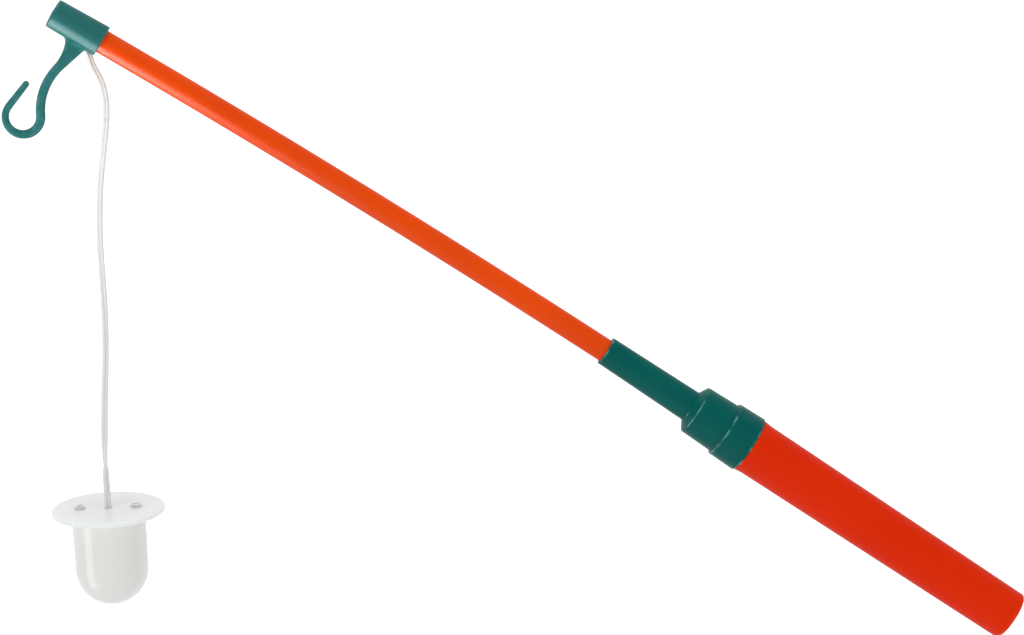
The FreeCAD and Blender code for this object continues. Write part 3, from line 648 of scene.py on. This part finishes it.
def hook_mesh():
    """The S-shaped hook: a rounded moulded bar that thins towards its tip and fillets into the cap."""
    sections, nose = hook_sections()
    to_head = HEAD.inverted() @ HOOK
    back = to_head.inverted()
    bm = bmesh.new()
    rings = [[bm.verts.new(nose)]]
    for index, (inner, outer, share) in enumerate(sections):
        deep = share * (1.45 + 0.35 * min(1.0, index / 40))
        middle, half = (inner + outer) / 2, (outer - inner) / 2
        ring = []
        for side in range(HOOK_SIDES):
            angle = TURN * side / HOOK_SIDES
            across = math.copysign(abs(math.cos(angle)) ** 0.78, math.cos(angle))
            up = math.copysign(abs(math.sin(angle)) ** 0.78, math.sin(angle))
            spoke = half * across + Vector((0, deep * up, 0))
            at = to_head @ (middle + spoke)
            radius = CAP_MOUTH_R - (CAP_MOUTH_R - CAP_END_R) * (TUBE_ROOT - at.x) / CAP_LENGTH
            gap = HOOK_FILLET - max(0.0, math.hypot(at.y, at.z) - radius)
            if index > 100 and gap > 0:
                spoke += spoke.normalized() * (HOOK_FILLET - math.sqrt(HOOK_FILLET ** 2 - gap ** 2))
            ring.append(bm.verts.new(middle + spoke))
        rings.append(ring)
    skin(bm, rings, HOOK_SIDES)
    bm.faces.new(rings[-1])
    return bm


HOOK_SIDES = 28
HOOK_FILLET = 1.6
cap = new_piece("head_cap_moulding", cap_bm, HEAD)
mouth = Vector((TUBE_ROOT - 3.0, 0, -6.95))
slant = Vector((math.sin(math.radians(45)), 0, -math.cos(math.radians(45))))
cut(cap, rod_mesh(1.7, mouth - slant * 5, mouth + slant * 3), HEAD)
finished(cap, "teal_plastic", "wand", "head_cap", look=teal_head)
finished(new_piece("lantern_hook", hook_mesh(), HOOK), "teal_plastic", "wand", look=teal_head)

# ---- lamp ----

flange = new_piece("flange_plate", lathe(divided(rounded([
    (0, 1.62, 0.3), (0, FLANGE_R, 0.7), (-FLANGE_THICKNESS, FLANGE_R, 0.5),
    (-FLANGE_THICKNESS, 1.62)]), 4.0), "Z", 128), LAMP)
finished(flange, "flange_clear", "pendant", "lamp_flange")
flange.visible_shadow = False

DOME_MIDDLE = -27.8
DOME_R = 16.05
DOME_WALL = 1.2


def dome_arc(radius, angles):
    """Points of the dome's section at angles below its widest ring."""
    return [Vector((DOME_MIDDLE - radius * math.sin(math.radians(a)), radius * math.cos(math.radians(a))))
            for a in angles]


inner_r = DOME_R - DOME_WALL
lens_outline = ([Vector((-FLANGE_THICKNESS, LENS_R - DOME_WALL)), Vector((-FLANGE_THICKNESS, LENS_R)),
                 Vector((-10, LENS_R))]
                + dome_arc(DOME_R, range(0, 90, 5))
                + [Vector((DOME_MIDDLE - DOME_R, 0)), Vector((DOME_MIDDLE - inner_r, 0))]
                + dome_arc(inner_r, range(85, -1, -5)))
lens = new_piece("opal_dome", lathe(divided(lens_outline, 3.0), "Z", 128), LAMP)
finished(lens, "lens_opal", "pendant", "lamp_lens")


def screw_mesh(out):
    """A pan-head screw under the flange's top face."""
    bm = lathe(divided(rounded([
        (SCREW_HEAD, 0), (SCREW_HEAD, SCREW_HEAD_R, 0.9), (0.0, SCREW_HEAD_R, 0.12), (0.0, 1.15),
        (-6.8, 1.1), (-8.0, 0.3), (-8.0, 0)],
        support=0.1), 1.0), "Z", 48)
    bm.transform(Matrix.Translation((out, 0, 0)))
    return bm


for name, out, turn in (("screw_left", -SCREW_OUT, 62), ("screw_right", SCREW_OUT, 24)):
    screw = new_piece(name, screw_mesh(out), LAMP)
    for quarter in (0, 90):
        bar = bmesh.new()
        bmesh.ops.create_cube(bar, size=1)
        bmesh.ops.scale(bar, vec=(2.9, 0.8, 2.4), verts=bar.verts)
        bar.transform(Matrix.Translation((out, 0, 1.6))
                      @ Matrix.Rotation(math.radians(turn + quarter), 4, "Z"))
        cut(screw, bar, LAMP)
    finished(screw, "screw_steel", "pendant")
    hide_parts("flange_screws")

# ---- studio ----

FLOOR_Z = -0.30
floor_bm = bmesh.new()
bmesh.ops.create_grid(floor_bm, x_segments=2, y_segments=2, size=30)
floor_mesh = bpy.data.meshes.new("studio_floor")
floor_bm.to_mesh(floor_mesh)
floor_bm.free()
studio_floor = bpy.data.objects.new("studio_floor", floor_mesh)
studio_floor.location = (0, 0, FLOOR_Z)
bpy.context.scene.collection.objects.link(studio_floor)
paper, _, paper_shader = surface("paper")
paper_shader.inputs["Base Color"].default_value = (0.9, 0.9, 0.9, 1)
paper_shader.inputs["Roughness"].default_value = 0.9
paper_shader.inputs["Specular IOR Level"].default_value = 0.1
paper_shader.inputs["Emission Color"].default_value = (1, 1, 1, 1)
paper_shader.inputs["Emission Strength"].default_value = 0.5
floor_mesh.materials.append(paper)
studio_floor.visible_diffuse = False
studio_floor.visible_glossy = False
studio_floor.visible_shadow = False


def softbox(name, place, look_at, size, power, seen_in_gloss, along=(1, 0, 0), only=()):
    """A soft rectangular light, either for the shading or, as a plain bright panel, for the gloss."""
    lamp = bpy.data.lights.new(name, "AREA")
    lamp.shape = "RECTANGLE"
    lamp.size, lamp.size_y = size
    lamp.energy = power
    light = bpy.data.objects.new(name, lamp)
    away = (Vector(place) - Vector(look_at)).normalized()
    side = (Vector(along) - away * away.dot(Vector(along))).normalized()
    light.location = place
    light.rotation_mode = "QUATERNION"
    light.rotation_quaternion = Matrix((side, away.cross(side), away)).transposed().to_quaternion()
    light.visible_camera = False
    light.visible_glossy = seen_in_gloss
    light.visible_diffuse = not seen_in_gloss
    if only:
        light.light_linking.receiver_collection = bpy.data.collections.new(name + "_on")
        for piece in only:
            light.light_linking.receiver_collection.objects.link(piece)
    bpy.context.scene.collection.objects.link(light)


UP_STICK = (-math.cos(LEAN), 0, math.sin(LEAN))
softbox("overhead", (-0.2, 0.1, 2.2), (-0.15, 0, 0), (2.6, 2.2), 19, False)
softbox("front_left", (-1.6, -1.7, 1.3), (-0.3, 0, 0.1), (1.2, 1.2), 15, False)
softbox("front_right", (1.3, -1.9, 0.9), (-0.1, 0, 0.1), (1.0, 1.4), 6, False)
softbox("low_panel", (-0.643, -0.19, -0.148), (-0.37, 0, 0.23), (0.22, 0.6), 12, True, UP_STICK,
        (cap, tube, adapter, handle))
softbox("side_panel", (-1.162, -0.322, -0.48), (-0.34, 0, -0.01), (0.45, 0.8), 2.6, True, (-0.365, 0.931, 0),
        (lens,))

# A narrow light from below the head, for the glow along its underside.
glow_data = bpy.data.lights.new("head_glow", "SPOT")
glow_data.energy = 9
glow_data.spot_size = math.radians(30)
glow_data.spot_blend = 1
glow_data.shadow_soft_size = 0.05
glow = bpy.data.objects.new("head_glow", glow_data)
glow.location = (-0.662, -0.202, -0.22)
glow.rotation_mode = "QUATERNION"
glow.rotation_quaternion = (Vector((-0.38, 0, 0.225)) - glow.location).to_track_quat("-Z", "Y")
glow.visible_camera = False
glow.visible_glossy = False
bpy.context.scene.collection.objects.link(glow)

world = bpy.data.worlds.new("studio")
bpy.context.scene.world = world
world.use_nodes = True
sky = world.node_tree.nodes["Background"]
toward = node(world.node_tree, "ShaderNodeSeparateXYZ",
              {0: node(world.node_tree, "ShaderNodeTexCoord").outputs["Generated"]}).outputs
ray = node(world.node_tree, "ShaderNodeLightPath")
behind = spread(world.node_tree, toward["Y"], -0.4, 0.6, 0.12, 0.9)
below = spread(world.node_tree, toward["Z"], -0.1, -0.7, 0.12, 0.7)
gloss_level = node(world.node_tree, "ShaderNodeMath", {0: behind, 1: below}, operation="MAXIMUM").outputs[0]
soft_level = spread(world.node_tree, toward["Z"], -0.15, 0.15, 1.08, 0.66)
level = node(world.node_tree, "ShaderNodeMix",
             {"Factor": ray.outputs["Is Glossy Ray"], 2: soft_level, 3: gloss_level})
level = node(world.node_tree, "ShaderNodeMix",
             {"Factor": ray.outputs["Is Camera Ray"], 2: level.outputs[0], 3: 1.0})
world.node_tree.links.new(level.outputs[0], sky.inputs["Strength"])
sky.inputs["Color"].default_value = (1, 1, 1, 1)

bpy.context.scene.view_settings.view_transform = "Standard"
